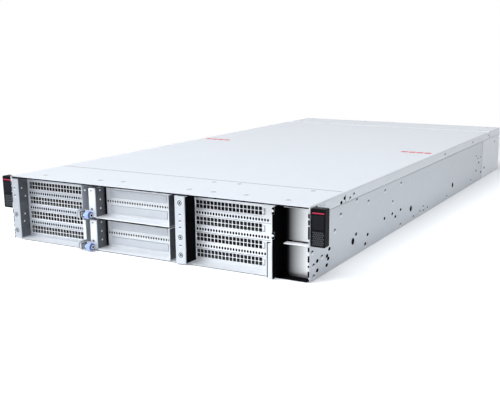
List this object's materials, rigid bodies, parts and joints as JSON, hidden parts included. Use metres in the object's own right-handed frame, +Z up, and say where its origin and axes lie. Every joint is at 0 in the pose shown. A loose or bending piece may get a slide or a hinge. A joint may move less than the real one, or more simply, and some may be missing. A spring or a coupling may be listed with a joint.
{
  "type": "gpu server",
  "caption": "Low wide rack-mount server with vented card cages, pull-out card trays with blue plungers, rack ears, lift-off cover, fan row and sliding power supplies.",
  "frame": {"origin": "centre of the underside, half way between the front edge and the rear wall", "axes": "+X to the right seen from the front, +Y towards the rear, +Z up"},
  "size_m": [0.4826, 0.9556, 0.087],
  "materials": {
    "zinc_sheet": "satin",
    "black_plastic": "matte",
    "blue_plastic": "satin",
    "pin_steel": "polished",
    "card_shell": "satin",
    "fin_metal": "satin",
    "circuit_board": "satin",
    "latch_plastic": "satin"
  },
  "bodies": {
    "chassis": {"base_pan": "zinc_sheet", "left_side_wall": "zinc_sheet", "right_side_wall": "zinc_sheet", "left_rear_wall": "zinc_sheet", "right_rear_wall": "zinc_sheet", "front_top_panel": "zinc_sheet", "rear_top_panel": "zinc_sheet", "rear_wall": "zinc_sheet", "left_column": "zinc_sheet", "left_cage": "zinc_sheet", "left_slot_brackets": "zinc_sheet", "centre_column": "zinc_sheet", "right_cage": "zinc_sheet", "right_slot_brackets": "zinc_sheet", "bay_fillers": "zinc_sheet", "ear_brackets": "zinc_sheet", "tray_shelf": "zinc_sheet", "tray_guides": "zinc_sheet", "psu_bay": "zinc_sheet", "fan_channel": "zinc_sheet", "rear_slot_brackets": "zinc_sheet", "rear_ports": "zinc_sheet", "ear_caps": "black_plastic", "fan_frames": "black_plastic", "memory_sockets": "black_plastic", "card_shrouds": "card_shell", "card_fins": "fin_metal", "heat_sinks": "fin_metal", "main_board": "circuit_board", "card_boards": "circuit_board", "riser_boards": "circuit_board", "left_memory": "circuit_board", "right_memory": "circuit_board"},
    "top_cover": {"top_cover": "zinc_sheet"},
    "lower_tray": {"lower_tray": "zinc_sheet", "lower_tray_covers": "zinc_sheet", "lower_tray_arm": "zinc_sheet", "lower_tray_riser": "circuit_board"},
    "upper_tray": {"upper_tray": "zinc_sheet", "upper_tray_covers": "zinc_sheet", "upper_tray_arm": "zinc_sheet", "upper_tray_riser": "circuit_board"},
    "lower_plunger": {"lower_plunger_knob": "blue_plastic", "lower_plunger_pin": "pin_steel"},
    "upper_plunger": {"upper_plunger_knob": "blue_plastic", "upper_plunger_pin": "pin_steel"},
    "lower_psu": {"lower_psu_case": "zinc_sheet", "lower_psu_inlet": "black_plastic", "lower_psu_handle": "zinc_sheet"},
    "upper_psu": {"upper_psu_case": "zinc_sheet", "upper_psu_inlet": "black_plastic", "upper_psu_handle": "zinc_sheet"},
    "lower_psu_latch": {"lower_psu_latch": "latch_plastic"},
    "upper_psu_latch": {"upper_psu_latch": "latch_plastic"},
    "fan_rotor_1": {"fan_rotor_1": "black_plastic"},
    "fan_rotor_2": {"fan_rotor_2": "black_plastic"},
    "fan_rotor_3": {"fan_rotor_3": "black_plastic"},
    "fan_rotor_4": {"fan_rotor_4": "black_plastic"},
    "fan_rotor_5": {"fan_rotor_5": "black_plastic"}
  },
  "joints": [
    {"name": "top_cover_lift", "type": "slide", "parent": "chassis", "child": "top_cover", "axis": [0, 0, 1], "range_m": [0, 0.12]},
    {"name": "lower_tray_slide", "type": "slide", "parent": "chassis", "child": "lower_tray", "axis": [0, -1, 0], "range_m": [0, 0.2]},
    {"name": "upper_tray_slide", "type": "slide", "parent": "chassis", "child": "upper_tray", "axis": [0, -1, 0], "range_m": [0, 0.2]},
    {"name": "lower_plunger_pull", "type": "slide", "parent": "lower_tray", "child": "lower_plunger", "axis": [1, 0, 0], "range_m": [-0.003, 0.0025], "stiffness_N_per_m": 400},
    {"name": "upper_plunger_pull", "type": "slide", "parent": "upper_tray", "child": "upper_plunger", "axis": [1, 0, 0], "range_m": [-0.003, 0.0025], "stiffness_N_per_m": 400},
    {"name": "fan_1_spin", "type": "hinge", "parent": "chassis", "child": "fan_rotor_1", "pos_m": [-0.168, -0.119, 0.0424], "axis": [0, 1, 0], "continuous": true},
    {"name": "fan_2_spin", "type": "hinge", "parent": "chassis", "child": "fan_rotor_2", "pos_m": [-0.084, -0.119, 0.0424], "axis": [0, 1, 0], "continuous": true},
    {"name": "fan_3_spin", "type": "hinge", "parent": "chassis", "child": "fan_rotor_3", "pos_m": [0, -0.119, 0.0424], "axis": [0, 1, 0], "continuous": true},
    {"name": "fan_4_spin", "type": "hinge", "parent": "chassis", "child": "fan_rotor_4", "pos_m": [0.084, -0.119, 0.0424], "axis": [0, 1, 0], "continuous": true},
    {"name": "fan_5_spin", "type": "hinge", "parent": "chassis", "child": "fan_rotor_5", "pos_m": [0.168, -0.119, 0.0424], "axis": [0, 1, 0], "continuous": true},
    {"name": "lower_psu_slide", "type": "slide", "parent": "chassis", "child": "lower_psu", "axis": [0, 1, 0], "range_m": [0, 0.18]},
    {"name": "lower_psu_latch_press", "type": "hinge", "parent": "lower_psu", "child": "lower_psu_latch", "pos_m": [0.1851, 0.4617, 0.0214], "axis": [0, 0, 1], "range_deg": [0, 10], "stiffness_Nm_per_rad": 0.05},
    {"name": "upper_psu_slide", "type": "slide", "parent": "chassis", "child": "upper_psu", "axis": [0, 1, 0], "range_m": [0, 0.18]},
    {"name": "upper_psu_latch_press", "type": "hinge", "parent": "upper_psu", "child": "upper_psu_latch", "pos_m": [0.1851, 0.4617, 0.0628], "axis": [0, 0, 1], "range_deg": [0, 10], "stiffness_Nm_per_rad": 0.05}
  ]
}
